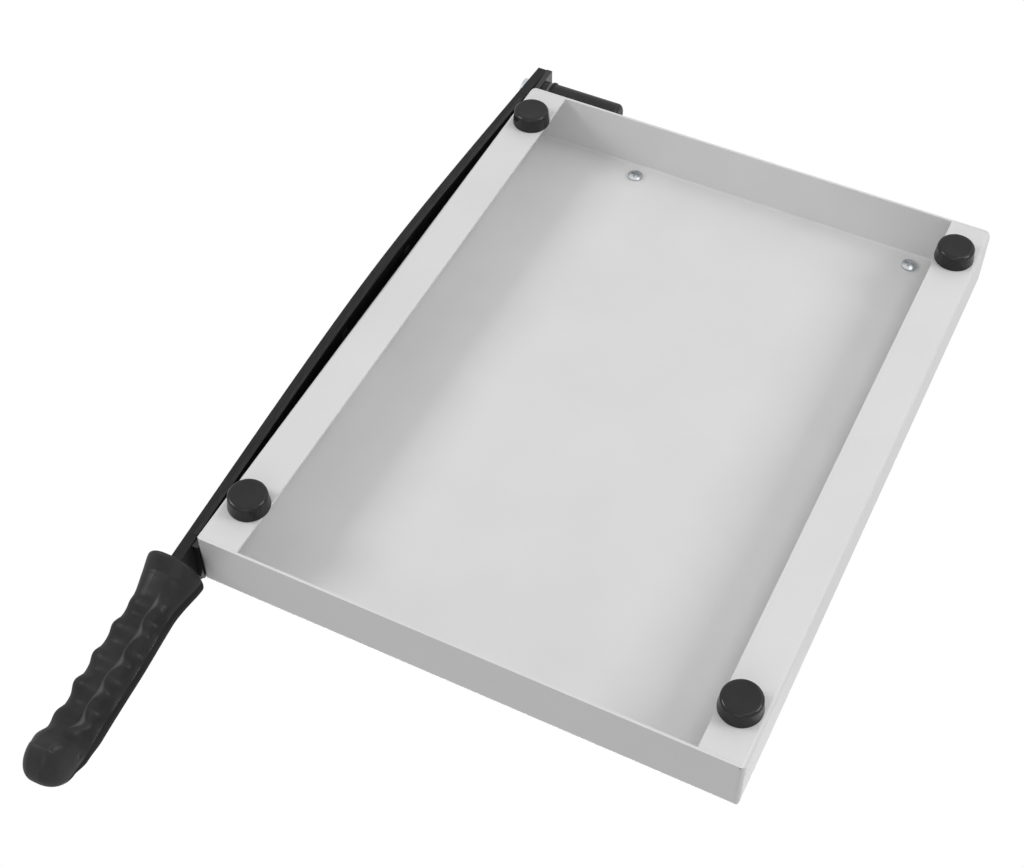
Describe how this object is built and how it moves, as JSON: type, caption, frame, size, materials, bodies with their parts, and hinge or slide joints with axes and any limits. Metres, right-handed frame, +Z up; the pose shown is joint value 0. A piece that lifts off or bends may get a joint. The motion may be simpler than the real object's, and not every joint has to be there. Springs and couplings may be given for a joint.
{
  "type": "paper cutter",
  "caption": "Guillotine paper cutter: folded sheet-steel table on rubber feet, fixed bed knife along one side and a hinged bow-edged blade arm with a finger-grooved handle.",
  "frame": {"origin": "centre of the table's flat top face", "axes": "+X to the right, towards the blade side; +Y to the back, towards the arm's pivot (the handle is at -Y); +Z up"},
  "size_m": [0.2687, 0.4699, 0.0498],
  "materials": {
    "tray_enamel": "smooth light grey powder coat",
    "black_lacquer": "satin black stove lacquer on steel bar",
    "blade_steel": "blued hardened steel with a ground edge",
    "zinc_plate": "bright zinc plate",
    "spring_wire": "drawn spring wire, oiled",
    "bronze": "sintered bronze",
    "foot_rubber": "moulded dark grey rubber",
    "sleeve_plastic": "moulded black plastic",
    "handle_plastic": "moulded black plastic, satin, worn brighter on the finger ridges",
    "ruler_aluminium": "anodised extrusion with a printed scale"
  },
  "bodies": {
    "table": {"base_tray": "tray_enamel", "foot_front_left": "foot_rubber", "foot_front_right": "foot_rubber", "foot_rear_left": "foot_rubber", "foot_rear_right": "foot_rubber", "bed_knife": "black_lacquer", "knife_screws": "zinc_plate", "knife_nuts": "zinc_plate", "paper_ruler": "ruler_aluminium", "ruler_screws": "zinc_plate", "pivot_bolt": "zinc_plate", "bolt_washer": "zinc_plate", "seat_spacer": "sleeve_plastic", "seat_washer": "zinc_plate", "pivot_spring": "spring_wire", "spring_cup": "zinc_plate", "lock_nut": "zinc_plate", "spring_sleeve": "sleeve_plastic"},
    "arm": {"blade_arm": "black_lacquer", "cutting_blade": "blade_steel", "blade_rivets": "black_lacquer", "pivot_bush": "bronze", "handle_grip": "handle_plastic"}
  },
  "joints": [
    {"name": "arm_hinge", "type": "hinge", "parent": "table", "child": "arm", "pos_m": [0.1306, 0.1775, -0.0145], "axis": [-1, 0, 0], "range_deg": [0, 70]}
  ]
}
